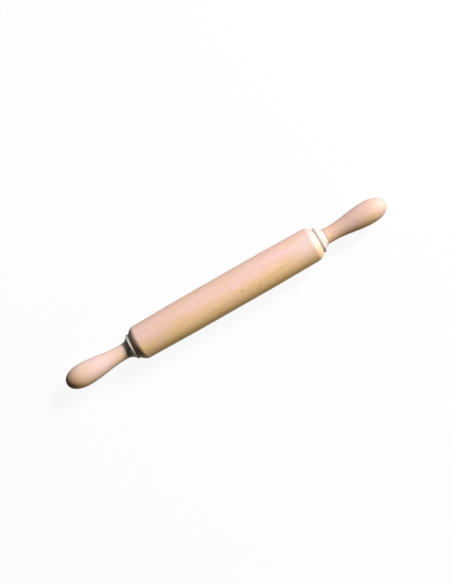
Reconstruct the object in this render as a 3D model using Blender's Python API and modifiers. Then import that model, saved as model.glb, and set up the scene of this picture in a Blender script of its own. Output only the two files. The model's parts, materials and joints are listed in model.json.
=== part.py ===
"""A beech rolling pin whose barrel and two handles turn on a steel rod.

The pin lies along X with its middle at the origin, and Z is up. Sizes are in metres.
The barrel and the rod are drawn about their middles. Both ends of the pin are alike, and
their pieces are drawn standing up: Z runs along the pin, away from the barrel, and is 0 at
the barrel's end face.
"""

from math import acos, cos, hypot, pi, radians, sin, tan

import bpy

# Barrel: a cylinder in the middle, a slight taper towards both ends, then a rounded shoulder.
# The shoulder turns down most sharply at SHOULDER_TURN from the end.
BARREL_LENGTH = 0.288
BARREL_RADIUS = 0.0255
BARREL_STRAIGHT = 0.120
TAPER_DROP = 0.0009
SHOULDER_LENGTH = 0.011
SHOULDER_TURN = 0.006
FACE_REVEAL = 0.0002
FACE_ROUNDING = 0.0005

# Rod, washers and nuts. The widths and walls are measured outwards from the bore.
ROD_RADIUS = 0.004
ROD_CHAMFER = 0.0008
ROD_PROUD = 0.0008
THRUST_WASHER_WIDTH = 0.0077
THRUST_WASHER_THICKNESS = 0.0015
END_WASHER_WIDTH = 0.0037
END_WASHER_THICKNESS = 0.0016
NUT_WALL = 0.0022
NUT_HEX_HEIGHT = 0.006
NUT_HEX_BEVEL = 0.0007
NUT_RING_HEIGHT = 0.002
NUT_RING_INSET = 0.0008
NUT_RING_ROUNDING = 0.0006

# Bushes in the barrel's ends.
BUSH_LENGTH = 0.022
BUSH_WALL = 0.0047
FLANGE_WIDTH = 0.004
FLANGE_THICKNESS = 0.002

# Collar on the handle's inner end: a rim, a small step, then a cove down to the neck.
COLLAR_LENGTH = 0.0114
COLLAR_PROUD = 0.0003
COLLAR_HOLLOW = 0.0007
RIM_LENGTH = 0.003
RIM_WALL = 0.006
RIM_STEP = 0.0016
RIM_ROUNDING = 0.0005

# Handle: a tenon in the collar, a neck, a long swell to the bulb, and a full dome.
TENON_WALL = 0.0037
NECK_WALL = 0.0028
NECK_LENGTH = 0.0072
NECK_FLARE = 0.0003
SWELL_LENGTH = 0.0585
BULB_RADIUS = 0.0165
DOME_LENGTH = 0.028
DOME_FULLNESS = 2.2
PLUG_LENGTH = 0.0115

# Clearances between pieces.
SEAT_GAP = 0.0003
FIT_GAP = 0.0003
RUNNING_GAP = 0.0006
POCKET_AIR = 0.0004
SOCKET_AIR = 0.001
TUNNEL_AIR = 0.002
PLUG_AIR = 0.0015

# How finely round shapes are cut into flat faces.
WOOD_SIDES = 32
FITTING_SIDES = 24
SHOULDER_STEPS = 6
COVE_STEPS = 4
FLARE_STEPS = 2
SWELL_STEPS = 8
DOME_STEPS = 7
PLUG_STEPS = 3
ROUNDING_STEPS = 2
CUT_MARGIN = 0.001
MERGE_DISTANCE = 0.00001
SHARP_ANGLE = radians(32)

# Radii that follow from what goes inside what.
bore_radius = ROD_RADIUS + FIT_GAP
tunnel_radius = ROD_RADIUS + TUNNEL_AIR
bush_radius = bore_radius + BUSH_WALL
flange_radius = bush_radius + FLANGE_WIDTH
tenon_radius = bore_radius + TENON_WALL
neck_radius = tenon_radius + NECK_WALL
neck_end_radius = neck_radius + NECK_FLARE
thrust_washer_radius = bore_radius + THRUST_WASHER_WIDTH
pocket_radius = thrust_washer_radius + POCKET_AIR
rim_radius = pocket_radius + RIM_WALL
face_radius = rim_radius - FACE_REVEAL
end_washer_radius = bore_radius + END_WASHER_WIDTH
nut_flat_radius = bore_radius + NUT_WALL
nut_corner_radius = nut_flat_radius / cos(pi / 6)
socket_radius = max(end_washer_radius, nut_corner_radius) + SOCKET_AIR
plug_radius = socket_radius - FIT_GAP

# Heights above the barrel's end face, from the barrel outwards.
thrust_washer_foot = SEAT_GAP
thrust_washer_top = thrust_washer_foot + THRUST_WASHER_THICKNESS
tenon_foot = thrust_washer_top + SEAT_GAP
collar_foot = RUNNING_GAP
collar_top = collar_foot + COLLAR_LENGTH
handle_shoulder = collar_top + SEAT_GAP
neck_height = handle_shoulder + NECK_LENGTH
bulb_height = neck_height + SWELL_LENGTH
tip_height = bulb_height + DOME_LENGTH

# The same from the tip of the handle inwards.
plug_foot = tip_height - PLUG_LENGTH
rod_top = plug_foot - PLUG_AIR
nut_top = rod_top - ROD_PROUD
nut_hex_top = nut_top - NUT_RING_HEIGHT
nut_foot = nut_hex_top - NUT_HEX_HEIGHT
end_washer_top = nut_foot - SEAT_GAP
end_washer_foot = end_washer_top - END_WASHER_THICKNESS
socket_floor = end_washer_foot - SEAT_GAP

barrel_end = BARREL_LENGTH / 2
shoulder_start = barrel_end - SHOULDER_LENGTH
rod_end = barrel_end + rod_top


def clear_scene():
    for old in list(bpy.data.objects):
        bpy.data.objects.remove(old, do_unlink=True)


def new_collection(name):
    made = bpy.data.collections.new(name)
    bpy.context.scene.collection.children.link(made)
    return made


def linear(value):
    """A colour value from 0 to 255 as seen on a screen, made linear."""
    share = value / 255
    return share / 12.92 if share <= 0.04045 else ((share + 0.055) / 1.055) ** 2.4


def new_material(name, colour, roughness, metallic=0.0):
    made = bpy.data.materials.new(name)
    made.use_nodes = True
    shader = made.node_tree.nodes["Principled BSDF"]
    shader.inputs["Base Color"].default_value = (*(linear(value) for value in colour), 1.0)
    shader.inputs["Roughness"].default_value = roughness
    shader.inputs["Metallic"].default_value = metallic
    return made


def curve(start, pull, end, steps):
    """Outline points from start to end, on a curve that leaves and arrives towards pull."""
    points = []
    for step in range(steps + 1):
        t = step / steps
        points.append(tuple((1 - t) ** 2 * a + 2 * t * (1 - t) * b + t ** 2 * c
                            for a, b, c in zip(start, pull, end)))
    return points


def cove(start, end, hollow, steps):
    """A curve down from start to end that sinks below the straight line by hollow."""
    down, out = end[0] - start[0], end[1] - start[1]
    reach = 2 * hollow / hypot(down, out)
    middle = ((start[0] + end[0]) / 2, (start[1] + end[1]) / 2)
    return curve(start, (middle[0] - out * reach, middle[1] + down * reach), end, steps)


def rounded(corner, before, after):
    """A rounded outline corner, from before it to after it, both given as offsets."""
    start = (corner[0] + before[0], corner[1] + before[1])
    end = (corner[0] + after[0], corner[1] + after[1])
    return curve(start, corner, end, ROUNDING_STEPS)


def dome_angle(radius):
    """How far round the dome's full ellipse this radius lies, 0 at the bulb."""
    return acos((radius / BULB_RADIUS) ** (DOME_FULLNESS / 2))


def dome_outline(from_radius, to_radius, steps):
    """Points down the handle's rounded end, evenly spaced round it."""
    first, last = dome_angle(from_radius), dome_angle(to_radius)
    points = []
    for step in range(steps + 1):
        angle = first + (last - first) * step / steps
        points.append((bulb_height + DOME_LENGTH * sin(angle) ** (2 / DOME_FULLNESS),
                       BULB_RADIUS * max(cos(angle), 0.0) ** (2 / DOME_FULLNESS)))
    return points


def swell_outline():
    """Points down the handle from the bulb to the neck, on a half wave."""
    points = []
    for step in range(1, SWELL_STEPS + 1):
        share = 1 - step / SWELL_STEPS
        points.append((neck_height + SWELL_LENGTH * share,
                       neck_radius + (BULB_RADIUS - neck_radius) * (1 - cos(pi * share)) / 2))
    return points


def turned_mesh(name, outline, sides, finish, bored=True):
    """Spin an outline of (height, radius) points, listed down the outside, round Z.

    The flats lie at the outline's radii, and one flat faces each of +X, -X, +Y and -Y. A
    bored piece's outline comes back up the bore and closes on itself.
    """
    corners = [(radius, radius * tan(pi / sides), height) for height, radius in outline]
    edges = [(i, i + 1) for i in range(len(corners) - 1)]
    if bored:
        edges.append((len(corners) - 1, 0))
    mesh = bpy.data.meshes.new(name + "_outline")
    mesh.from_pydata(corners, edges, [])
    blank = bpy.data.objects.new(name + "_blank", mesh)
    bpy.context.scene.collection.objects.link(blank)
    turn = blank.modifiers.new("turn", "SCREW")
    turn.axis = "Z"
    turn.steps = turn.render_steps = sides
    turn.use_merge_vertices = True
    turn.merge_threshold = MERGE_DISTANCE
    return finished_mesh(name, blank, finish)


def finished_mesh(name, blank, finish):
    """The mesh that a blank's modifiers make, smooth but for its edges. The blank goes."""
    scene_state = bpy.context.evaluated_depsgraph_get()
    mesh = bpy.data.meshes.new_from_object(blank.evaluated_get(scene_state))
    mesh.name = name
    mesh.shade_smooth()
    mesh.set_sharp_from_angle(angle=SHARP_ANGLE)
    mesh.materials.clear()
    mesh.materials.append(finish)
    bpy.data.objects.remove(blank, do_unlink=True)
    return mesh


def barrel_mesh(finish):
    taper_start = BARREL_STRAIGHT / 2
    end_radius = BARREL_RADIUS - TAPER_DROP
    recess_radius = flange_radius + FIT_GAP
    recess_floor = barrel_end - FLANGE_THICKNESS - SEAT_GAP
    sleeve_radius = bush_radius + FIT_GAP
    sleeve_floor = barrel_end - BUSH_LENGTH - SEAT_GAP

    # The shoulder leaves the taper in line with it, so nothing shows where they meet.
    taper_slope = TAPER_DROP / (shoulder_start - taper_start)
    turn_drop = taper_slope * (SHOULDER_LENGTH - SHOULDER_TURN)
    shoulder_pull = (barrel_end - SHOULDER_TURN, end_radius - turn_drop)

    face_edge = (barrel_end, face_radius)
    face = rounded(face_edge, (0, -FACE_ROUNDING), (-FACE_ROUNDING, 0))
    shoulder = curve(face[-1], shoulder_pull, (shoulder_start, end_radius), SHOULDER_STEPS)

    outside = face + shoulder[1:] + [(taper_start, BARREL_RADIUS)]
    inside = [(sleeve_floor, tunnel_radius), (sleeve_floor, sleeve_radius),
              (recess_floor, sleeve_radius), (recess_floor, recess_radius),
              (barrel_end, recess_radius)]
    outside += [(-height, radius) for height, radius in reversed(outside)]
    inside = [(-height, radius) for height, radius in reversed(inside)] + inside
    return turned_mesh("barrel", outside + inside, WOOD_SIDES, finish)


def rod_mesh(finish):
    top = [(rod_end, 0.0), (rod_end, ROD_RADIUS - ROD_CHAMFER), (rod_end - ROD_CHAMFER, ROD_RADIUS)]
    foot = [(-height, radius) for height, radius in reversed(top)]
    return turned_mesh("axle_rod", top + foot, FITTING_SIDES, finish, bored=False)


def bush_mesh(finish):
    outline = [(0.0, flange_radius), (-FLANGE_THICKNESS, flange_radius),
               (-FLANGE_THICKNESS, bush_radius), (-BUSH_LENGTH, bush_radius),
               (-BUSH_LENGTH, bore_radius), (0.0, bore_radius)]
    return turned_mesh("bush", outline, FITTING_SIDES, finish)


def washer_mesh(name, foot, top, radius, finish):
    outline = [(top, radius), (foot, radius), (foot, bore_radius), (top, bore_radius)]
    return turned_mesh(name, outline, FITTING_SIDES, finish)


def collar_mesh(finish):
    rim_top = collar_foot + RIM_LENGTH
    cove_foot = (rim_top, rim_radius - RIM_STEP)
    cove_top = (collar_top, neck_end_radius + COLLAR_PROUD)
    rim_upper = rounded((rim_top, rim_radius), (0, -RIM_ROUNDING), (-RIM_ROUNDING, 0))
    rim_lower = rounded((collar_foot, rim_radius), (RIM_ROUNDING, 0), (0, -RIM_ROUNDING))
    outside = cove(cove_top, cove_foot, COLLAR_HOLLOW, COVE_STEPS) + rim_upper + rim_lower
    tenon_hole = tenon_radius + FIT_GAP
    inside = [(collar_foot, pocket_radius), (tenon_foot, pocket_radius),
              (tenon_foot, tenon_hole), (collar_top, tenon_hole)]
    return turned_mesh("collar", outside + inside, WOOD_SIDES, finish)


def handle_mesh(finish):
    neck = (neck_height, neck_radius)
    neck_end = (handle_shoulder, neck_end_radius)
    flare = curve(neck, ((neck_height + handle_shoulder) / 2, neck_radius), neck_end, FLARE_STEPS)
    dome = dome_outline(socket_radius, BULB_RADIUS, DOME_STEPS)
    tenon = [(handle_shoulder, tenon_radius), (tenon_foot, tenon_radius)]
    inside = [(tenon_foot, bore_radius), (socket_floor, bore_radius), (socket_floor, socket_radius)]
    outline = dome + swell_outline() + flare[1:] + tenon + inside
    return turned_mesh("handle", outline, WOOD_SIDES, finish)


def plug_mesh(finish):
    outline = dome_outline(0.0, plug_radius, PLUG_STEPS) + [(plug_foot, plug_radius), (plug_foot, 0.0)]
    return turned_mesh("end_plug", outline, WOOD_SIDES, finish, bored=False)


def nut_form(cutters, finish):
    """The turned shape that a hexagon bar is cut to: bevelled hexagon, locking ring, bore."""
    ring_radius = nut_flat_radius - NUT_RING_INSET
    outside = nut_corner_radius + CUT_MARGIN
    bevel_height = NUT_HEX_BEVEL * outside / nut_corner_radius
    rounding = rounded((nut_top, ring_radius), (0, -NUT_RING_ROUNDING), (-NUT_RING_ROUNDING, 0))
    hexagon = [(nut_hex_top, ring_radius), (nut_hex_top, nut_flat_radius),
               (nut_hex_top - bevel_height, outside), (nut_foot + bevel_height, outside),
               (nut_foot, nut_flat_radius)]
    bore = [(nut_foot, bore_radius), (nut_top, bore_radius)]
    mesh = turned_mesh("nut_form", rounding + hexagon + bore, FITTING_SIDES, finish)
    form = bpy.data.objects.new("nut_form", mesh)
    cutters.objects.link(form)
    form.hide_render = True
    form.display_type = "WIRE"
    return form


def nut_mesh(cutters, finish):
    height = nut_top - nut_foot
    bpy.ops.mesh.primitive_cylinder_add(
        vertices=6, radius=nut_corner_radius, depth=height + 2 * CUT_MARGIN,
        location=(0, 0, nut_foot + height / 2))
    bar = bpy.context.object
    bpy.ops.object.transform_apply(location=True, rotation=False, scale=False)
    shape = bar.modifiers.new("shape", "BOOLEAN")
    shape.operation = "INTERSECT"
    shape.solver = "EXACT"
    shape.object = nut_form(cutters, finish)
    return finished_mesh("lock_nut", bar, finish)


def turning_point(name, pin):
    """An empty on the pin's axis that carries the pieces of one moving body."""
    empty = bpy.data.objects.new(name, None)
    empty.empty_display_type = "SINGLE_ARROW"
    empty.empty_display_size = BARREL_RADIUS
    pin.objects.link(empty)
    return empty


def add_piece(name, mesh, pin, carrier, end=0):
    """Put a piece on its carrier: end is 1 or -1 for the two ends, 0 for the middle."""
    piece = bpy.data.objects.new(name, mesh)
    piece.location = (end * barrel_end, 0, 0)
    piece.rotation_euler = (0, (end or 1) * pi / 2, 0)
    piece.parent = carrier
    pin.objects.link(piece)


def build_pin():
    clear_scene()
    pin = new_collection("rolling_pin")
    cutters = new_collection("cutters")

    barrel_beech = new_material("barrel_beech", (240, 200, 172), 0.42)
    handle_beech = new_material("handle_beech", (241, 202, 178), 0.40)
    plug_beech = new_material("plug_beech", (232, 191, 160), 0.45)
    collar_nylon = new_material("collar_nylon", (236, 233, 224), 0.30)
    bush_nylon = new_material("bush_nylon", (238, 236, 226), 0.35)
    rod_steel = new_material("rod_steel", (190, 190, 188), 0.30, metallic=1.0)
    washer_steel = new_material("washer_steel", (186, 188, 190), 0.35, metallic=1.0)
    nut_steel = new_material("nut_steel", (182, 184, 188), 0.35, metallic=1.0)

    barrel_turn = turning_point("barrel_turn", pin)
    axle_turn = turning_point("axle_turn", pin)
    add_piece("barrel", barrel_mesh(barrel_beech), pin, barrel_turn)
    add_piece("axle_rod", rod_mesh(rod_steel), pin, axle_turn)

    bush = bush_mesh(bush_nylon)
    thrust_washer = washer_mesh(
        "thrust_washer", thrust_washer_foot, thrust_washer_top, thrust_washer_radius, washer_steel)
    end_washer = washer_mesh(
        "end_washer", end_washer_foot, end_washer_top, end_washer_radius, washer_steel)
    lock_nut = nut_mesh(cutters, nut_steel)
    collar = collar_mesh(collar_nylon)
    handle = handle_mesh(handle_beech)
    end_plug = plug_mesh(plug_beech)

    for side, end in (("left", -1), ("right", 1)):
        handle_turn = turning_point(side + "_handle_turn", pin)
        add_piece(side + "_bush", bush, pin, barrel_turn, end)
        add_piece(side + "_thrust_washer", thrust_washer, pin, axle_turn, end)
        add_piece(side + "_end_washer", end_washer, pin, axle_turn, end)
        add_piece(side + "_lock_nut", lock_nut, pin, axle_turn, end)
        add_piece(side + "_collar", collar, pin, handle_turn, end)
        add_piece(side + "_handle", handle, pin, handle_turn, end)
        add_piece(side + "_end_plug", end_plug, pin, handle_turn, end)


build_pin()
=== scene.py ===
"""A rolling pin of pale beech on a plain white table, seen from straight above.

The barrel and both handles turn on a steel rod through the middle. Each piece is turned,
moulded or cut here as the real one is, and rides on the body of the frame that moves it.
Lengths are in metres. The pin lies along X, its middle is at the origin, and Z is up.
"""

import json
import math

import bpy
from mathutils import Matrix, Vector

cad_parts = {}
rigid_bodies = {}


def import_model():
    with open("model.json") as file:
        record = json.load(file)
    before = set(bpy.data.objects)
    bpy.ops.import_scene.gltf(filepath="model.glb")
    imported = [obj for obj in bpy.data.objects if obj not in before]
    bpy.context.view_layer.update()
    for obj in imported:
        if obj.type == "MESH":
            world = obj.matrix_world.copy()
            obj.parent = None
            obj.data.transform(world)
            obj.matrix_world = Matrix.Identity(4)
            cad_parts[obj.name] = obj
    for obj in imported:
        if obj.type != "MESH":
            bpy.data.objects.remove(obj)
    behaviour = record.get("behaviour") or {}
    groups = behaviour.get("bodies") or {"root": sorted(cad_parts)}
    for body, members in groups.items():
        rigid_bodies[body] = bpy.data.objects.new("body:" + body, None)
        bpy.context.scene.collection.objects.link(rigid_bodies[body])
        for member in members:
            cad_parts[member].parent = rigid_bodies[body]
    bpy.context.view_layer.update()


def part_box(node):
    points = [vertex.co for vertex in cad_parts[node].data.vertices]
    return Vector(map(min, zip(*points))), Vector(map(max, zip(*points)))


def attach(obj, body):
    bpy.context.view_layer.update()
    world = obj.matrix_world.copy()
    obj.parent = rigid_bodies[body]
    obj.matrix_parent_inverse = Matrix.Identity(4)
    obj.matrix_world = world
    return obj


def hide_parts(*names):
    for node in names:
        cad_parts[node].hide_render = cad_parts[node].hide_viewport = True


for leftover in list(bpy.data.objects):
    bpy.data.objects.remove(leftover, do_unlink=True)

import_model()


# Sizes that the frame gives.
def end_span(node):
    """Where a piece of the right end starts and stops along the pin, and its radius."""
    low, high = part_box("right_" + node)
    return low.x, high.x, high.z


barrel_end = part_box("barrel")[1].x
barrel_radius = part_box("barrel")[1].z
rod_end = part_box("axle_rod")[1].x
rod_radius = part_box("axle_rod")[1].z
sleeve_foot, bush_face, flange_radius = end_span("bush")
thrust_foot, thrust_top, thrust_radius = end_span("thrust_washer")
collar_foot, collar_top, rim_radius = end_span("collar")
tenon_foot, _, bulb_radius = end_span("handle")
washer_foot, washer_top, washer_radius = end_span("end_washer")
nut_foot, nut_top, nut_flat_radius = end_span("lock_nut")
plug_foot, tip, _ = end_span("end_plug")

# Barrel: straight in the middle, a slight taper that starts softly, then a rounded shoulder at
# each end, which turns down most sharply at SHOULDER_TURN from the end.
BARREL_STRAIGHT = 0.060
TAPER_DROP = 0.0009
TAPER_EASE = 0.014
SHOULDER_LENGTH = 0.011
SHOULDER_TURN = 0.006
FACE_ROUNDING = 0.0003
FACE_REVEAL = 0.0002

# Gaps between pieces, and the walls that stand on the rod.
SEAT_GAP = 0.0003
BORE_RADIUS = 0.0043
TUNNEL_RADIUS = 0.0060
SLEEVE_RADIUS = 0.0090
TENON_RADIUS = 0.0080
SOCKET_RADIUS = 0.0090
POCKET_AIR = 0.0004

# Bush: a flange, a sleeve with crush ribs that grip the barrel, and a lead-in chamfer.
FLANGE_THICKNESS = 0.002
RIB_COUNT = 6
RIB_HEIGHT = 0.0002
RIB_SHARE = 0.13
LEAD_IN = 0.0012
BUSH_ROUNDING = 0.00015

# Washer: the punch draws one edge in and leaves the other nearly sharp.
PUNCH_DRAW = 0.0004
PUNCH_EDGE = 0.00012

# Collar: a rim with the mould's parting line, a small step, then a cove down to the neck.
RIM_LENGTH = 0.003
RIM_STEP = 0.0016
RIM_ROUNDING = 0.0005
COVE_HOLLOW = 0.0007
COLLAR_TOP_RADIUS = 0.0114
PARTING_HEIGHT = 0.00006
PARTING_WIDTH = 0.00016

# Handle: tenon, neck, a long swell to the bulb, then a full dome with the plug in its tip.
NECK_LENGTH = 0.0072
NECK_RADIUS = 0.0108
NECK_FLARE = 0.0003
SWELL_LENGTH = 0.0585
DOME_FULLNESS = 2.2
PLUG_SEAM = 0.00006
PLUG_EDGE = 0.00025

# Rod and nut: an 8 mm thread, and a hexagon 13 mm across its flats with a locking ring.
THREAD_PITCH = 0.00125
THREAD_DEPTH = 0.00062
THREAD_LENGTH = 0.014
THREAD_RUN_OUT = 0.0015
ROD_CHAMFER = 0.0008
NUT_RING_HEIGHT = 0.002
NUT_RING_INSET = 0.0008
NUT_RING_ROUNDING = 0.0008
NUT_CHAMFER = 0.0007
NUT_FORM_OVERSIZE = 1.15
INSERT_RADIUS = 0.0052
INSERT_LIP = 0.0004
INSERT_GAP = 0.0001

# How finely the pieces are turned.
WOOD_SIDES = 160
FITTING_SIDES = 96
ROD_SIDES = 48
RINGS_A_PITCH = 8
MERGE_DISTANCE = 0.000001
SMOOTH_ANGLE = math.radians(32)
START_SIZE = 0.001


# Outlines: lists of (along the pin, radius) points.
def curve(start, pull, end, steps):
    """Points from start to end on a curve that leaves and arrives towards pull."""
    points = []
    for step in range(steps + 1):
        t = step / steps
        points.append(tuple((1 - t) ** 2 * a + 2 * t * (1 - t) * b + t ** 2 * c
                            for a, b, c in zip(start, pull, end)))
    return points


def cove(start, end, hollow, steps):
    """A curve from start outwards and down to end, sunk below the straight line by hollow."""
    out, down = end[0] - start[0], end[1] - start[1]
    reach = 2 * hollow / math.hypot(out, down)
    middle = ((start[0] + end[0]) / 2, (start[1] + end[1]) / 2)
    return curve(start, (middle[0] + down * reach, middle[1] - out * reach), end, steps)


def swell(steps):
    """The handle's swell from its neck to the bulb, on half a wave."""
    foot = collar_top + SEAT_GAP + NECK_LENGTH
    rise = bulb_radius - NECK_RADIUS
    return [(foot + SWELL_LENGTH * step / steps,
             NECK_RADIUS + rise * (1 - math.cos(math.pi * step / steps)) / 2)
            for step in range(steps + 1)]


def dome(from_radius, to_radius, steps):
    """The handle's rounded end between two radii, on a slightly square-shouldered ellipse."""
    foot = collar_top + SEAT_GAP + NECK_LENGTH + SWELL_LENGTH
    first, last = (math.acos((radius / bulb_radius) ** (DOME_FULLNESS / 2))
                   for radius in (from_radius, to_radius))
    points = []
    for step in range(steps + 1):
        angle = first + (last - first) * step / steps
        points.append((foot + (tip - foot) * math.sin(angle) ** (2 / DOME_FULLNESS),
                       bulb_radius * max(math.cos(angle), 0.0) ** (2 / DOME_FULLNESS)))
    return points


# Modelling by hand: an outline drawn from one vertex, spun, then finished with modifiers.
def edit(piece):
    """Open a piece in edit mode with all of it selected."""
    bpy.ops.object.select_all(action="DESELECT")
    piece.select_set(True)
    bpy.context.view_layer.objects.active = piece
    bpy.ops.object.mode_set(mode="EDIT")
    bpy.ops.mesh.select_all(action="SELECT")


def close_up(piece):
    """Merge what meets, point every face outwards and leave edit mode."""
    bpy.ops.mesh.select_all(action="SELECT")
    bpy.ops.mesh.remove_doubles(threshold=MERGE_DISTANCE)
    bpy.ops.mesh.normals_make_consistent(inside=False)
    bpy.ops.object.mode_set(mode="OBJECT")
    return piece


def apply_modifier(piece, kind, **settings):
    bpy.context.view_layer.objects.active = piece
    modifier = piece.modifiers.new(kind.lower(), kind)
    for setting, value in settings.items():
        setattr(modifier, setting, value)
    bpy.ops.object.modifier_apply(modifier=modifier.name)


def turned(name, outline, sides):
    """Draw an outline vertex by vertex above the pin's axis and spin it round that axis."""
    bpy.ops.object.select_all(action="DESELECT")
    bpy.ops.mesh.primitive_plane_add(size=START_SIZE)
    piece = bpy.context.object
    piece.name = name
    piece.data.name = name
    edit(piece)
    bpy.ops.mesh.merge(type="CENTER")
    along, radius = outline[0]
    bpy.ops.transform.translate(value=(along, 0, radius))
    for next_along, next_radius in outline[1:]:
        step = (next_along - along, 0, next_radius - radius)
        bpy.ops.mesh.extrude_vertices_move(TRANSFORM_OT_translate={"value": step})
        along, radius = next_along, next_radius
    bpy.ops.mesh.select_all(action="SELECT")
    bpy.ops.mesh.spin(steps=sides, angle=2 * math.pi, center=(0, 0, 0), axis=(1, 0, 0))
    return close_up(piece)


def round_edges(piece, width, segments=3):
    """Round the edges that a turning tool or a mould leaves sharp."""
    apply_modifier(piece, "BEVEL", width=width, segments=segments, limit_method="ANGLE",
                   angle_limit=SMOOTH_ANGLE)


def both_halves(piece):
    """Complete a piece of which only the right half was turned."""
    apply_modifier(piece, "MIRROR", merge_threshold=MERGE_DISTANCE)
    edit(piece)
    return close_up(piece)


def other_end(piece):
    """The same piece at the pin's left end, a mirrored copy with its own mesh."""
    bpy.ops.object.select_all(action="DESELECT")
    piece.select_set(True)
    bpy.context.view_layer.objects.active = piece
    bpy.ops.object.duplicate(linked=False)
    copy = bpy.context.object
    copy.name = piece.name.replace("right", "left")
    copy.data.name = copy.name
    copy.scale.x = -1
    bpy.ops.object.transform_apply(location=False, rotation=False, scale=True)
    edit(copy)
    return close_up(copy)


def smooth_off(piece):
    """Shade a piece smooth but for its edges, with broad faces keeping their own light."""
    bpy.ops.object.select_all(action="DESELECT")
    piece.select_set(True)
    bpy.context.view_layer.objects.active = piece
    bpy.ops.object.shade_smooth_by_angle(angle=SMOOTH_ANGLE)
    apply_modifier(piece, "WEIGHTED_NORMAL", keep_sharp=True)


def mark_end_grain(piece):
    """Note on each vertex how far the surface cuts across the grain, which runs along X."""
    cut = piece.data.attributes.new("end_grain", "FLOAT", "POINT")
    cut.data.foreach_set("value", [abs(vertex.normal.x) for vertex in piece.data.vertices])


def settle(piece, body, material, node=None):
    """Finish a piece's surface and let it ride on the body that moves it."""
    smooth_off(piece)
    piece.data.materials.clear()
    piece.data.materials.append(material)
    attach(piece, body)
    if node:
        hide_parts(node)


# Materials.
def linear(hex_colour):
    """An sRGB colour written as six hex digits, made linear, with full opacity."""
    values = [int(hex_colour[i:i + 2], 16) / 255 for i in (0, 2, 4)]
    return (*(v / 12.92 if v <= 0.04045 else ((v + 0.055) / 1.055) ** 2.4 for v in values), 1.0)


MIX_FACTOR, MIX_FROM, MIX_TO, MIX_RESULT = 0, 6, 7, 2


def add_node(tree, kind, inputs, **settings):
    """Add a node, set it up, and give each input a number, a colour or another's output."""
    node = tree.nodes.new(kind)
    for setting, value in settings.items():
        setattr(node, setting, value)
    for name, value in inputs.items():
        if isinstance(value, bpy.types.NodeSocket):
            tree.links.new(value, node.inputs[name])
        else:
            node.inputs[name].default_value = value
    return node


def new_material(name):
    """A material with a bare Principled shader, and its node tree."""
    material = bpy.data.materials.new(name)
    material.use_nodes = True
    return material, material.node_tree, material.node_tree.nodes["Principled BSDF"]


# Beech: growth rings, fibres and ray flecks, in millimetres of the real wood. A mark is its
# middle, its reach along X, Y and Z, its colour and how strongly it shows.
MM = 0.001
RING_WIDTH = 2.8 * MM
FIBRE_LENGTH, FIBRE_WIDTH = 14 * MM, 0.55 * MM
FLECK_LENGTH, FLECK_WIDTH, FLECK_DEPTH = 4.6 * MM, 1.2 * MM, 14 * MM
TONE_LENGTH, TONE_WIDTH = 48 * MM, 15 * MM
GRAIN_STRETCH = 0.05
# Across Y the wood turns more golden towards -Y, where the key lamp leaves it in shade: painted
# shade, partly the wood's own tone.
PINK_LIT_SIDE, GOLDEN_SHADE_SIDE = 9 * MM, -19 * MM
LATE_WOOD_SHARE = 0.2
FLECK_SHARE, END_GRAIN_SHARE = 0.28, 0.55
FLECK_BROWN, CUT_GRAIN = "96704A", "B4A19F"
# PINK_CAST and GOLDEN_CAST tint the wood for its random tone patches and for the painted shade
# towards -Y.
PINK_CAST, GOLDEN_CAST = "FFFDFF", "FFFDBC"
PIN_KNOTS = (((0.0206, -0.0079, 0.0242), (0.0034, 0.0028, 0.0028), "8C7A4E", 0.50),
             ((0.0453, -0.0130, 0.0219), (0.0028, 0.0013, 0.0013), "965A28", 0.90))
# A paler patch on the barrel's right shoulder, which faces the key lamp: painted highlight.
PAINTED_HIGHLIGHT_END = (((0.128, 0.002, 0.021), (0.036, 0.022, 0.028), "E2CAC3", 0.75),)
# Left handle: a golden patch low on the tip and a pale pink one on top of the swell, which faces
# the key lamp. Partly the wood's own tone, partly painted shade and painted light.
LEFT_TONES_AND_PAINTED_LIGHT = (((-0.241, -0.008, 0.008), (0.036, 0.028, 0.028), "EAB67A", 0.85),
                ((-0.192, -0.001, 0.013), (0.034, 0.016, 0.016), "EFCACA", 0.80))
# Right handle: a darker brown patch on the underside of the swell, which is painted shade, and a
# greyer one that dulls the tip where the key lamp falls hardest, also painted shade. Both are
# partly the wood's own tone.
RIGHT_TONES_AND_PAINTED_SHADE = (((0.192, -0.013, 0.004), (0.056, 0.018, 0.022), "BF9C86", 0.40),
                 ((0.248, -0.008, 0.004), (0.034, 0.028, 0.028), "C8B0B0", 0.65))


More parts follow.
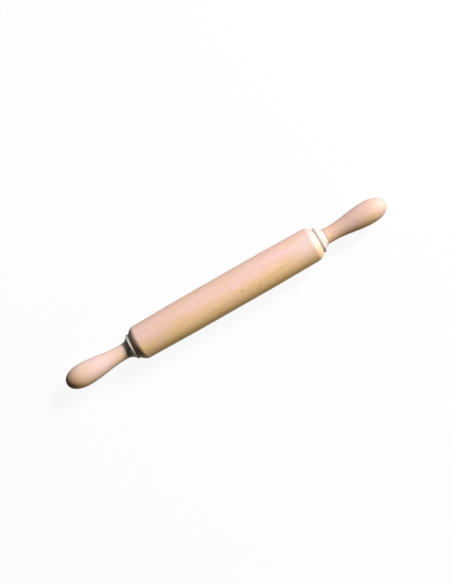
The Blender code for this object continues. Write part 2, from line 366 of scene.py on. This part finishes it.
def beech(name, wood, late, pith, lean, golden, roughness, marks=()):
    """Steamed beech, turned, sanded along the grain and left with a thin coat of oil.

    The eye sees a pale pinkish tan with faint growth rings that run out in long arches and
    short brown ray flecks along the grain. Towards -Y, where the key lamp leaves it in shade,
    it is more golden: painted shade, partly the wood's own tone. Where the grain is cut across
    it is duller and paler, and there is no clear highlight. pith is where the tree's middle
    lies beside this piece and lean is how far its grain leans from the pin's axis, so no two
    pieces show the same figure. golden is how strong that painted golden shade is, and marks
    are knots of the wood and patches with a place of their own, which are partly the wood's
    tone and partly painted light and shade.
    """
    material, tree, shader = new_material(name)
    place = add_node(tree, "ShaderNodeTexCoord", {}).outputs["Object"]
    board = add_node(tree, "ShaderNodeMapping", {
        "Vector": place, "Location": (0, -pith[0], -pith[1]), "Rotation": (0, lean[0], lean[1])})
    board = board.outputs["Vector"]

    def stretched(length, width, depth):
        return add_node(tree, "ShaderNodeMapping", {
            "Vector": board, "Scale": (1 / length, 1 / width, 1 / depth)}).outputs["Vector"]

    ring_space = stretched(1 / GRAIN_STRETCH, 1, 1)
    rings = add_node(tree, "ShaderNodeTexWave", {
        "Vector": ring_space, "Scale": math.pi / 10 / RING_WIDTH, "Distortion": 2.6,
        "Detail": 2.0, "Detail Scale": 0.35, "Detail Roughness": 0.5},
        wave_type="RINGS", rings_direction="X", wave_profile="SAW")
    late_wood = add_node(tree, "ShaderNodeMapRange", {
        "Value": rings.outputs["Fac"], "From Min": 0.35, "From Max": 0.96,
        "To Min": 0.0, "To Max": LATE_WOOD_SHARE}, interpolation_type="SMOOTHSTEP")

    fibres = add_node(tree, "ShaderNodeTexNoise", {
        "Vector": stretched(FIBRE_LENGTH, FIBRE_WIDTH, FIBRE_WIDTH), "Scale": 1.0,
        "Detail": 3.0, "Roughness": 0.6})
    tones = add_node(tree, "ShaderNodeTexNoise", {
        "Vector": stretched(TONE_LENGTH, TONE_WIDTH, TONE_WIDTH), "Scale": 1.0,
        "Detail": 2.0, "Roughness": 0.5})
    rays = add_node(tree, "ShaderNodeTexVoronoi", {
        "Vector": stretched(FLECK_LENGTH, FLECK_WIDTH, FLECK_DEPTH), "Scale": 1.0,
        "Randomness": 1.0})
    fleck_edge = add_node(tree, "ShaderNodeMapRange", {
        "Value": rays.outputs["Distance"], "From Min": 0.20, "From Max": 0.34,
        "To Min": 1.0, "To Max": 0.0}, interpolation_type="SMOOTHSTEP")
    fleck_strength = add_node(tree, "ShaderNodeSeparateColor", {"Color": rays.outputs["Color"]})
    flecks = add_node(tree, "ShaderNodeMath", {
        0: fleck_edge.outputs["Result"], 1: fleck_strength.outputs["Red"]}, operation="MULTIPLY")

    colour = add_node(tree, "ShaderNodeMix", {
        MIX_FACTOR: late_wood.outputs["Result"], MIX_FROM: linear(wood), MIX_TO: linear(late)},
        data_type="RGBA")
    across = add_node(tree, "ShaderNodeSeparateXYZ", {"Vector": place})
    # Painted shade: more golden towards -Y, partly the wood's own tone, with the random tone
    # patches added to it.
    painted_side_shade = add_node(tree, "ShaderNodeMapRange", {
        "Value": across.outputs["Y"], "From Min": PINK_LIT_SIDE, "From Max": GOLDEN_SHADE_SIDE,
        "To Min": 0.0, "To Max": golden}, interpolation_type="SMOOTHSTEP")
    patches = add_node(tree, "ShaderNodeMapRange", {
        "Value": tones.outputs["Fac"], "From Min": 0.32, "From Max": 0.68,
        "To Min": 0.0, "To Max": 0.45})
    tone_and_painted_shade = add_node(tree, "ShaderNodeMath", {
        0: painted_side_shade.outputs["Result"], 1: patches.outputs["Result"]}, operation="ADD")
    tone_and_shade_colour = add_node(tree, "ShaderNodeMix", {
        MIX_FACTOR: tone_and_painted_shade.outputs["Value"], MIX_FROM: linear(PINK_CAST),
        MIX_TO: linear(GOLDEN_CAST)}, data_type="RGBA")
    colour = add_node(tree, "ShaderNodeMix", {
        MIX_FACTOR: 1.0, MIX_FROM: colour.outputs[MIX_RESULT],
        MIX_TO: tone_and_shade_colour.outputs[MIX_RESULT]}, data_type="RGBA", blend_type="MULTIPLY")
    fibre_shade = add_node(tree, "ShaderNodeMapRange", {
        "Value": fibres.outputs["Fac"], "From Min": 0.25, "From Max": 0.75,
        "To Min": 0.90, "To Max": 1.06})
    colour = add_node(tree, "ShaderNodeVectorMath", {
        0: colour.outputs[MIX_RESULT], "Scale": fibre_shade.outputs["Result"]},
        operation="SCALE")
    fleck_share = add_node(tree, "ShaderNodeMath", {
        0: flecks.outputs["Value"], 1: FLECK_SHARE}, operation="MULTIPLY")
    colour = add_node(tree, "ShaderNodeMix", {
        MIX_FACTOR: fleck_share.outputs["Value"], MIX_FROM: colour.outputs["Vector"],
        MIX_TO: linear(FLECK_BROWN)}, data_type="RGBA")
    end_grain = add_node(tree, "ShaderNodeAttribute", {}, attribute_name="end_grain")
    end_share = add_node(tree, "ShaderNodeMath", {
        0: end_grain.outputs["Fac"], 1: END_GRAIN_SHARE}, operation="MULTIPLY")
    colour = add_node(tree, "ShaderNodeMix", {
        MIX_FACTOR: end_share.outputs["Value"], MIX_FROM: colour.outputs[MIX_RESULT],
        MIX_TO: linear(CUT_GRAIN)}, data_type="RGBA")
    for middle, reach, mark_colour, strength in marks:
        spot = add_node(tree, "ShaderNodeMapping", {
            "Vector": place, "Location": tuple(-at / size for at, size in zip(middle, reach)),
            "Scale": tuple(1 / size for size in reach)})
        away = add_node(tree, "ShaderNodeVectorMath", {0: spot.outputs["Vector"]},
                        operation="LENGTH")
        share = add_node(tree, "ShaderNodeMapRange", {
            "Value": away.outputs["Value"], "From Min": 0.0, "From Max": 1.0,
            "To Min": strength, "To Max": 0.0}, interpolation_type="SMOOTHSTEP")
        colour = add_node(tree, "ShaderNodeMix", {
            MIX_FACTOR: share.outputs["Result"], MIX_FROM: colour.outputs[MIX_RESULT],
            MIX_TO: linear(mark_colour)}, data_type="RGBA")
    tree.links.new(colour.outputs[MIX_RESULT], shader.inputs["Base Color"])

    dullness = add_node(tree, "ShaderNodeMapRange", {
        "Value": fibres.outputs["Fac"], "From Min": 0.2, "From Max": 0.8,
        "To Min": roughness + 0.05, "To Max": roughness - 0.05})
    tree.links.new(dullness.outputs["Result"], shader.inputs["Roughness"])
    relief = add_node(tree, "ShaderNodeMath", {
        0: fibres.outputs["Fac"], 1: flecks.outputs["Value"]}, operation="SUBTRACT")
    bump = add_node(tree, "ShaderNodeBump", {
        "Height": relief.outputs["Value"], "Strength": 0.25, "Distance": 0.04 * MM})
    tree.links.new(bump.outputs["Normal"], shader.inputs["Normal"])
    shader.inputs["IOR"].default_value = 1.5
    shader.inputs["Specular IOR Level"].default_value = 0.10
    return material


def nylon(name, colour, roughness):
    """Natural nylon, injection moulded in a polished tool.

    The eye sees an off-white, slightly waxy plastic: light sinks a little way in, edges glow
    a trifle and highlights are soft, over the faint orange peel that moulding leaves.
    """
    material, tree, shader = new_material(name)
    place = add_node(tree, "ShaderNodeTexCoord", {}).outputs["Object"]
    peel = add_node(tree, "ShaderNodeTexNoise", {
        "Vector": place, "Scale": 1 / (0.9 * MM), "Detail": 2.0, "Roughness": 0.5})
    cloud = add_node(tree, "ShaderNodeTexNoise", {
        "Vector": place, "Scale": 1 / (9 * MM), "Detail": 2.0, "Roughness": 0.5})
    tint = add_node(tree, "ShaderNodeMix", {
        MIX_FACTOR: cloud.outputs["Fac"], MIX_FROM: linear(colour), MIX_TO: linear("C5BCB0")},
        data_type="RGBA")
    tree.links.new(tint.outputs[MIX_RESULT], shader.inputs["Base Color"])
    gloss = add_node(tree, "ShaderNodeMapRange", {
        "Value": peel.outputs["Fac"], "From Min": 0.3, "From Max": 0.7,
        "To Min": roughness - 0.03, "To Max": roughness + 0.03})
    tree.links.new(gloss.outputs["Result"], shader.inputs["Roughness"])
    bump = add_node(tree, "ShaderNodeBump", {
        "Height": peel.outputs["Fac"], "Strength": 0.15, "Distance": 0.02 * MM})
    tree.links.new(bump.outputs["Normal"], shader.inputs["Normal"])
    shader.inputs["IOR"].default_value = 1.53
    shader.inputs["Specular IOR Level"].default_value = 0.12
    shader.inputs["Subsurface Weight"].default_value = 0.06
    shader.inputs["Subsurface Radius"].default_value = (1.0, 0.9, 0.75)
    shader.inputs["Subsurface Scale"].default_value = 1.2 * MM
    return material


def plated_steel(name, colour, roughness):
    """Bright zinc-plated steel, barrel plated after stamping or cold heading.

    The eye sees a cool grey metal with a slight cloudiness and tiny pits, not a mirror.
    """
    material, tree, shader = new_material(name)
    place = add_node(tree, "ShaderNodeTexCoord", {}).outputs["Object"]
    cloud = add_node(tree, "ShaderNodeTexNoise", {
        "Vector": place, "Scale": 1 / (2.5 * MM), "Detail": 4.0, "Roughness": 0.6})
    tint = add_node(tree, "ShaderNodeMix", {
        MIX_FACTOR: cloud.outputs["Fac"], MIX_FROM: linear(colour), MIX_TO: linear("D8D9DC")},
        data_type="RGBA")
    tree.links.new(tint.outputs[MIX_RESULT], shader.inputs["Base Color"])
    dullness = add_node(tree, "ShaderNodeMapRange", {
        "Value": cloud.outputs["Fac"], "From Min": 0.3, "From Max": 0.7,
        "To Min": roughness - 0.08, "To Max": roughness + 0.08})
    tree.links.new(dullness.outputs["Result"], shader.inputs["Roughness"])
    bump = add_node(tree, "ShaderNodeBump", {
        "Height": cloud.outputs["Fac"], "Strength": 0.2, "Distance": 0.02 * MM})
    tree.links.new(bump.outputs["Normal"], shader.inputs["Normal"])
    shader.inputs["Metallic"].default_value = 1.0
    return material


def drawn_steel(name, colour, roughness):
    """Bright cold-drawn steel rod.

    The eye sees a clean grey bar whose reflection is broken by fine lines along its length.
    """
    material, tree, shader = new_material(name)
    place = add_node(tree, "ShaderNodeTexCoord", {}).outputs["Object"]
    along = add_node(tree, "ShaderNodeMapping", {
        "Vector": place, "Scale": (1 / (30 * MM), 1 / (0.12 * MM), 1 / (0.12 * MM))})
    lines = add_node(tree, "ShaderNodeTexNoise", {
        "Vector": along.outputs["Vector"], "Scale": 1.0, "Detail": 2.0, "Roughness": 0.5})
    tint = add_node(tree, "ShaderNodeMix", {
        MIX_FACTOR: lines.outputs["Fac"], MIX_FROM: linear(colour), MIX_TO: linear("D2D3D2")},
        data_type="RGBA")
    tree.links.new(tint.outputs[MIX_RESULT], shader.inputs["Base Color"])
    dullness = add_node(tree, "ShaderNodeMapRange", {
        "Value": lines.outputs["Fac"], "From Min": 0.3, "From Max": 0.7,
        "To Min": roughness - 0.06, "To Max": roughness + 0.06})
    tree.links.new(dullness.outputs["Result"], shader.inputs["Roughness"])
    bump = add_node(tree, "ShaderNodeBump", {
        "Height": lines.outputs["Fac"], "Strength": 0.2, "Distance": 0.01 * MM})
    tree.links.new(bump.outputs["Normal"], shader.inputs["Normal"])
    shader.inputs["Metallic"].default_value = 1.0
    return material


# Pieces.
def make_barrel():
    """The roller: taper, shoulders, counterbores for the bushes and a tunnel for the rod."""
    face_radius = rim_radius - FACE_REVEAL
    recess_floor = barrel_end - FLANGE_THICKNESS - SEAT_GAP
    sleeve_floor = sleeve_foot - SEAT_GAP
    taper_end = (barrel_end - SHOULDER_LENGTH, barrel_radius - TAPER_DROP)
    taper_slope = TAPER_DROP / (taper_end[0] - BARREL_STRAIGHT)
    ease_start = (BARREL_STRAIGHT - TAPER_EASE, barrel_radius)
    ease_end = (BARREL_STRAIGHT + TAPER_EASE, barrel_radius - taper_slope * TAPER_EASE)
    turn_drop = taper_slope * (SHOULDER_LENGTH - SHOULDER_TURN)
    shoulder_pull = (barrel_end - SHOULDER_TURN, taper_end[1] - turn_drop)
    shoulder_end = (barrel_end - FACE_ROUNDING, face_radius)
    face_start = (barrel_end, face_radius - FACE_ROUNDING)
    outline = [(ease_start[0] * step / 5, barrel_radius) for step in range(5)]
    outline += curve(ease_start, (BARREL_STRAIGHT, barrel_radius), ease_end, 8)
    outline += curve(taper_end, shoulder_pull, shoulder_end, 16)
    outline += curve(shoulder_end, (barrel_end, face_radius), face_start, 4)[1:]
    outline += [(barrel_end, flange_radius + SEAT_GAP), (recess_floor, flange_radius + SEAT_GAP),
                (recess_floor, SLEEVE_RADIUS + SEAT_GAP), (sleeve_floor, SLEEVE_RADIUS + SEAT_GAP),
                (sleeve_floor, TUNNEL_RADIUS), (0, TUNNEL_RADIUS)]
    return both_halves(turned("barrel_turned", outline, WOOD_SIDES))


def make_rod():
    """The rod, with a right-hand thread sunk into both ends vertex by vertex."""
    thread_start = rod_end - THREAD_LENGTH
    rings = round(THREAD_LENGTH / THREAD_PITCH * RINGS_A_PITCH)
    outline = [(0, rod_radius)]
    outline += [(thread_start + (THREAD_LENGTH - ROD_CHAMFER) * ring / rings, rod_radius)
                for ring in range(rings + 1)]
    outline += [(rod_end, rod_radius - ROD_CHAMFER), (rod_end, 0)]
    rod = both_halves(turned("rod_threaded", outline, ROD_SIDES))
    for vertex in rod.data.vertices:
        along, y, z = vertex.co
        into = abs(along) - thread_start
        if into > 0 and math.hypot(y, z) > rod_radius - THREAD_DEPTH:
            turn = math.atan2(z, y) / (2 * math.pi)
            groove = abs(2 * ((along / THREAD_PITCH - turn) % 1) - 1)
            depth = THREAD_DEPTH * groove * min(1, into / THREAD_RUN_OUT)
            left = 1 - depth / rod_radius
            vertex.co = (along, y * left, z * left)
    return rod


def make_bush():
    """A bush: its flange, its sleeve, and ribs drawn out of the sleeve that grip the wood."""
    flange_foot = bush_face - FLANGE_THICKNESS
    outline = [(bush_face, BORE_RADIUS), (bush_face, flange_radius), (flange_foot, flange_radius),
               (flange_foot, SLEEVE_RADIUS), (sleeve_foot + LEAD_IN, SLEEVE_RADIUS),
               (sleeve_foot, SLEEVE_RADIUS - LEAD_IN / 2), (sleeve_foot, BORE_RADIUS),
               (bush_face, BORE_RADIUS)]
    bush = turned("right_bush_moulded", outline, FITTING_SIDES)
    for face in bush.data.polygons:
        across = math.hypot(face.center.y, face.center.z)
        share = math.atan2(face.center.z, face.center.y) / (2 * math.pi) * RIB_COUNT % 1
        on_sleeve = sleeve_foot + LEAD_IN < face.center.x < flange_foot
        face.select = on_sleeve and across > SLEEVE_RADIUS * 0.95 and share < RIB_SHARE
    selected = [face.index for face in bush.data.polygons if face.select]
    edit(bush)
    bpy.ops.mesh.select_mode(type="FACE")
    bpy.ops.mesh.select_all(action="DESELECT")
    bpy.ops.object.mode_set(mode="OBJECT")
    for index in selected:
        bush.data.polygons[index].select = True
    bpy.ops.object.mode_set(mode="EDIT")
    bpy.ops.mesh.extrude_region_shrink_fatten(
        TRANSFORM_OT_shrink_fatten={"value": RIB_HEIGHT})
    bpy.ops.mesh.select_mode(type="VERT")
    close_up(bush)
    round_edges(bush, BUSH_ROUNDING, segments=2)
    return bush


def make_washer(name, foot, top, radius):
    """A stamped washer: a rounded upper edge where the punch drew it in, a sharper lower one."""
    drawn = min(PUNCH_DRAW, (top - foot) / 3)
    outline = [(foot, BORE_RADIUS), (foot, radius - PUNCH_EDGE), (foot + PUNCH_EDGE, radius)]
    outline += curve((top - drawn, radius), (top, radius), (top, radius - drawn), 4)
    outline += curve((top, BORE_RADIUS + drawn), (top, BORE_RADIUS), (top - drawn, BORE_RADIUS), 4)
    outline += [(foot, BORE_RADIUS)]
    return turned(name, outline, FITTING_SIDES)


def make_collar():
    """The moulded collar: rim, step and cove outside, tenon hole and washer pocket inside."""
    rim_top = collar_foot + RIM_LENGTH
    parting = collar_foot + RIM_LENGTH / 2
    skin = rim_radius - PARTING_HEIGHT
    pocket_radius = thrust_radius + POCKET_AIR
    outline = curve((collar_foot, skin - RIM_ROUNDING / 2), (collar_foot, skin),
                    (collar_foot + RIM_ROUNDING / 2, skin), 5)
    outline += [(parting - PARTING_WIDTH / 2, skin), (parting, rim_radius),
                (parting + PARTING_WIDTH / 2, skin)]
    outline += curve((rim_top - RIM_ROUNDING, skin), (rim_top, skin),
                     (rim_top, skin - RIM_ROUNDING), 5)
    outline += curve((rim_top, skin - RIM_STEP + RIM_ROUNDING), (rim_top, skin - RIM_STEP),
                     (rim_top + RIM_ROUNDING, skin - RIM_STEP), 3)
    cove_end = (collar_top - RIM_ROUNDING / 2, COLLAR_TOP_RADIUS)
    outline += cove(outline[-1], cove_end, COVE_HOLLOW, 12)[1:]
    outline += curve(outline[-1], (collar_top, COLLAR_TOP_RADIUS),
                     (collar_top, COLLAR_TOP_RADIUS - RIM_ROUNDING / 2), 3)[1:]
    outline += [(collar_top, TENON_RADIUS + SEAT_GAP), (tenon_foot, TENON_RADIUS + SEAT_GAP),
                (tenon_foot, pocket_radius), (collar_foot, pocket_radius), outline[0]]
    return turned("right_collar_moulded", outline, WOOD_SIDES)


def make_handle():
    """The handle: tenon, neck, swell and dome, bored for the rod and sunk for the nut."""
    shoulder = collar_top + SEAT_GAP
    neck = (shoulder + NECK_LENGTH, NECK_RADIUS)
    neck_start = (shoulder, NECK_RADIUS + NECK_FLARE)
    outline = [(tenon_foot, BORE_RADIUS), (tenon_foot, TENON_RADIUS), (shoulder, TENON_RADIUS)]
    outline += curve(neck_start, ((shoulder + neck[0]) / 2, NECK_RADIUS), neck, 5)
    outline += swell(36)[1:]
    outline += dome(bulb_radius, SOCKET_RADIUS + PLUG_EDGE, 26)[1:]
    mouth = outline[-1]
    outline += [(mouth[0] - PLUG_EDGE / 2, SOCKET_RADIUS), (washer_foot - SEAT_GAP, SOCKET_RADIUS),
                (washer_foot - SEAT_GAP, BORE_RADIUS), (tenon_foot, BORE_RADIUS)]
    return turned("right_handle_turned", outline, WOOD_SIDES)


def make_plug():
    """The plug, glued into the socket and turned with the handle: only a fine seam shows."""
    radius = SOCKET_RADIUS - PLUG_SEAM
    cap = dome(radius - PLUG_EDGE, 0.0, 12)
    outline = [(plug_foot, 0.0), (plug_foot, radius - PLUG_EDGE * 2),
               (plug_foot + PLUG_EDGE * 2, radius), (cap[0][0] - PLUG_EDGE, radius)]
    outline += cap
    return turned("right_end_plug_turned", outline, FITTING_SIDES)


def make_nut():
    """A locking nut: a hexagon bar cut to a turned form, with a ring that grips an insert."""
    corner_radius = nut_flat_radius / math.cos(math.pi / 6)
    outside = corner_radius * NUT_FORM_OVERSIZE
    hex_top = nut_top - NUT_RING_HEIGHT
    ring_radius = nut_flat_radius - NUT_RING_INSET
    bevel = NUT_CHAMFER * (outside - nut_flat_radius) / (corner_radius - nut_flat_radius)
    outline = [(nut_foot, BORE_RADIUS), (nut_foot, nut_flat_radius), (nut_foot + bevel, outside),
               (hex_top - bevel, outside), (hex_top, nut_flat_radius), (hex_top, ring_radius)]
    outline += curve((nut_top - NUT_RING_ROUNDING, ring_radius), (nut_top, ring_radius),
                     (nut_top, ring_radius - NUT_RING_ROUNDING), 5)
    lip_foot = nut_top - INSERT_LIP
    groove_floor = hex_top + INSERT_GAP
    outline += [(nut_top, INSERT_RADIUS - INSERT_LIP), (lip_foot, INSERT_RADIUS - INSERT_LIP),
                (lip_foot, INSERT_RADIUS), (groove_floor, INSERT_RADIUS),
                (groove_floor, BORE_RADIUS), (nut_foot, BORE_RADIUS)]
    form = turned("nut_form", outline, FITTING_SIDES)
    bpy.ops.object.select_all(action="DESELECT")
    height = nut_top - nut_foot
    bpy.ops.mesh.primitive_cylinder_add(
        vertices=6, radius=corner_radius, depth=height * 1.5,
        location=((nut_foot + nut_top) / 2, 0, 0), rotation=(0, math.pi / 2, 0))
    nut = bpy.context.object
    nut.name = "right_lock_nut_headed"
    nut.data.name = nut.name
    bpy.ops.object.transform_apply(location=True, rotation=True, scale=False)
    turn_flats_up(nut)
    apply_modifier(nut, "BOOLEAN", operation="INTERSECT", solver="EXACT", object=form)
    bpy.data.objects.remove(form, do_unlink=True)
    edit(nut)
    return close_up(nut)


def turn_flats_up(nut):
    """Turn the hexagon about the pin's axis until a flat faces up, as the frame's nut has it."""
    highest = max(vertex.co.z for vertex in nut.data.vertices)
    if highest > nut_flat_radius * 1.05:
        edit(nut)
        bpy.ops.transform.rotate(value=math.radians(30), orient_axis="X", center_override=(0, 0, 0))
        bpy.ops.object.mode_set(mode="OBJECT")


def make_insert():
    """The nylon ring inside the nut's locking ring, which the thread bites into."""
    foot = nut_top - NUT_RING_HEIGHT + INSERT_GAP * 2
    top = nut_top - INSERT_LIP - INSERT_GAP
    inside = rod_radius + INSERT_GAP
    outside = INSERT_RADIUS - INSERT_GAP
    outline = [(foot, inside), (foot, outside), (top, outside), (top, inside), (foot, inside)]
    insert = turned("right_nut_insert", outline, FITTING_SIDES)
    round_edges(insert, INSERT_GAP, segments=2)
    return insert


# Build every piece, dress it and set it on its body.
bush_white = nylon("nylon_bush_moulded", "E4E1D8", 0.38)
collar_white = nylon("nylon_collar_moulded", "CDC5BB", 0.34)
zinc = plated_steel("steel_zinc_plated_washer", "B8BABD", 0.36)
zinc_nut = plated_steel("steel_zinc_plated_nut", "B2B4B8", 0.33)
bright_rod = drawn_steel("steel_bright_drawn_rod", "BABBB9", 0.28)
barrel_wood = beech("beech_barrel_oiled", "EDC9BF", "DCB2A2",
                    pith=(0.004, -0.068), lean=(0.012, 0.020), golden=0.70, roughness=0.46,
                    marks=PIN_KNOTS + PAINTED_HIGHLIGHT_END)
# The left handle's beech is paler, and the right one's darker and more golden, than one wood would
# be. This is painted light on the left swell, which faces the key lamp, and painted shade on the
# right one, which faces away; partly it is the wood's own tone.
left_wood_painted_light = beech("beech_left_handle_oiled", "F1D4CC", "E2BDB0",
                  pith=(-0.047, -0.030), lean=(0.02, -0.03), golden=0.30, roughness=0.46,
                  marks=LEFT_TONES_AND_PAINTED_LIGHT)
right_wood_painted_shade = beech("beech_right_handle_oiled", "E2BFB6", "D3AB9D",
                   pith=(0.038, -0.051), lean=(-0.03, 0.02), golden=0.80, roughness=0.46,
                   marks=RIGHT_TONES_AND_PAINTED_SHADE)
plug_wood = beech("beech_plug_oiled", "E7C2B4", "D4A998",
                  pith=(0.021, 0.034), lean=(0.01, 0.01), golden=0.4, roughness=0.50)

barrel = make_barrel()
mark_end_grain(barrel)
settle(barrel, "barrel", barrel_wood, "barrel")

rod = make_rod()
settle(rod, "axle", bright_rod, "axle_rod")

fittings = (
    (make_bush(), "barrel", "barrel", bush_white, "bush_nylon", "bush"),
    (make_washer("right_thrust_washer_stamped", thrust_foot, thrust_top, thrust_radius),
     "axle", "axle", zinc, "washer_steel", "thrust_washer"),
    (make_washer("right_end_washer_stamped", washer_foot, washer_top, washer_radius),
     "axle", "axle", zinc, "washer_steel", "end_washer"),
    (make_nut(), "axle", "axle", zinc_nut, "nut_steel", "lock_nut"),
    (make_insert(), "axle", "axle", bush_white, "bush_nylon", None),
    (make_collar(), "left_handle", "right_handle", collar_white, "collar_nylon", "collar"),
)
for piece, left_body, right_body, material, slot, node in fittings:
    for made, side, body in ((other_end(piece), "left_", left_body), (piece, "right_", right_body)):
        settle(made, body, material, side + node if node else None)

for piece, left_material, right_material, slot, node in (
        (make_handle(), left_wood_painted_light, right_wood_painted_shade, "handle_beech", "handle"),
        (make_plug(), plug_wood, plug_wood, "plug_beech", "end_plug")):
    for made, side, material in ((other_end(piece), "left_", left_material),
                                 (piece, "right_", right_material)):
        mark_end_grain(made)
        settle(made, side + "handle", material, side + node)


# Table: white to the camera and in reflections, and a dark board to all other light.
FLOOR_SIZE = 12.0
BACKGROUND = linear("FDFDFD")
BOUNCE_COLOUR = linear("383430")
SHADOW_SHARE = 0.06
SHADOW_NEAR, SHADOW_FAR = 0.35, 0.90


def seen_directly(tree):
    """1 for what the camera, a reflection or clear plastic shows, 0 for light on surfaces."""
    path = add_node(tree, "ShaderNodeLightPath", {})
    mirrored = add_node(tree, "ShaderNodeMath", {
        0: path.outputs["Is Glossy Ray"], 1: path.outputs["Is Transmission Ray"]},
        operation="MAXIMUM")
    return add_node(tree, "ShaderNodeMath", {
        0: path.outputs["Is Camera Ray"], 1: mirrored.outputs["Value"]},
        operation="MAXIMUM").outputs["Value"]


def table_top():
    """Matt white card. It shows as white with the pin's soft shadow, which fades out far off."""
    material = bpy.data.materials.new("card_matt_white")
    material.use_nodes = True
    tree = material.node_tree
    tree.nodes.clear()
    place = add_node(tree, "ShaderNodeTexCoord", {}).outputs["Object"]
    away = add_node(tree, "ShaderNodeVectorMath", {0: place}, operation="LENGTH")
    shadow = add_node(tree, "ShaderNodeMapRange", {
        "Value": away.outputs["Value"], "From Min": SHADOW_NEAR, "From Max": SHADOW_FAR,
        "To Min": SHADOW_SHARE, "To Max": 0.0}, interpolation_type="SMOOTHSTEP")
    white = add_node(tree, "ShaderNodeEmission", {"Color": BACKGROUND, "Strength": 1.0})
    card = add_node(tree, "ShaderNodeBsdfDiffuse", {"Color": BACKGROUND})
    bounce = add_node(tree, "ShaderNodeBsdfDiffuse", {"Color": BOUNCE_COLOUR})
    shown = add_node(tree, "ShaderNodeMixShader", {
        0: shadow.outputs["Result"], 1: white.outputs[0], 2: card.outputs[0]})
    mixed = add_node(tree, "ShaderNodeMixShader", {
        0: seen_directly(tree), 1: bounce.outputs[0], 2: shown.outputs[0]})
    add_node(tree, "ShaderNodeOutputMaterial", {"Surface": mixed.outputs[0]})
    return material


bpy.ops.object.select_all(action="DESELECT")
bpy.ops.mesh.primitive_plane_add(size=FLOOR_SIZE, location=(0, 0, -barrel_radius))
floor = bpy.context.object
floor.name = "table_top"
floor.data.materials.append(table_top())

# Light: a soft lamp over the right end, which leaves the left collar in shade, and a weak warm
# one low down on the near side. Power is in watts.
LAMP_DISTANCE = 4.0
KEY_DIRECTION, KEY_SIZE, KEY_POWER, KEY_COLOUR = (0.765, 0.285, 0.58), 1.2, 282.0, "FEFCFF"
WARM_DIRECTION, WARM_SIZE, WARM_POWER, WARM_COLOUR = (0.80, -0.56, 0.21), 1.0, 54.0, "FFF4CC"
FILL_COLOUR = linear("F4F4F8")
FILL_STRENGTH = 0.014


def lamp(name, direction, size, power, colour):
    """A round soft lamp that shines on the pin's middle from one direction."""
    direction = Vector(direction).normalized()
    bpy.ops.object.light_add(type="AREA", location=direction * LAMP_DISTANCE)
    made = bpy.context.object
    made.name = name
    made.rotation_euler = direction.to_track_quat("Z", "Y").to_euler()
    made.data.shape = "DISK"
    made.data.size = size
    made.data.energy = power
    made.data.color = linear(colour)[:3]


lamp("key_lamp", KEY_DIRECTION, KEY_SIZE, KEY_POWER, KEY_COLOUR)
lamp("warm_lamp", WARM_DIRECTION, WARM_SIZE, WARM_POWER, WARM_COLOUR)

world = bpy.data.worlds.new("white_room")
bpy.context.scene.world = world
world.use_nodes = True
world.node_tree.nodes.clear()
fill = add_node(world.node_tree, "ShaderNodeBackground", {
    "Color": FILL_COLOUR, "Strength": FILL_STRENGTH})
backdrop = add_node(world.node_tree, "ShaderNodeBackground", {"Color": BACKGROUND, "Strength": 1.0})
room = add_node(world.node_tree, "ShaderNodeMixShader", {
    0: seen_directly(world.node_tree), 1: fill.outputs[0], 2: backdrop.outputs[0]})
add_node(world.node_tree, "ShaderNodeOutputWorld", {"Surface": room.outputs[0]})

# Camera: all but straight above, turned so that the pin rises to the right as in the
# photograph, and leaning a little towards its right end.
SENSOR = 0.036
CAMERA_DISTANCE = 1.3
CAMERA_TURN = math.radians(-29.72)
CAMERA_LEAN = math.radians(0.8)
METRES_A_PIXEL = 0.001364
IMAGE_HEIGHT = 584
PIN_FROM_CENTRE = (-0.13, -1.55)

aim = Matrix.Rotation(CAMERA_LEAN, 3, "Y") @ Matrix.Rotation(CAMERA_TURN, 3, "Z")
right, up, back = aim.transposed()
offset = (right * PIN_FROM_CENTRE[0] + up * PIN_FROM_CENTRE[1]) * METRES_A_PIXEL
bpy.ops.object.camera_add(location=back * CAMERA_DISTANCE - offset, rotation=aim.to_euler())
camera = bpy.context.object
camera.data.sensor_width = SENSOR * 1000
camera.data.lens = SENSOR * 1000 * CAMERA_DISTANCE / (IMAGE_HEIGHT * METRES_A_PIXEL)
bpy.context.scene.camera = camera
bpy.context.scene.view_settings.view_transform = "Standard"
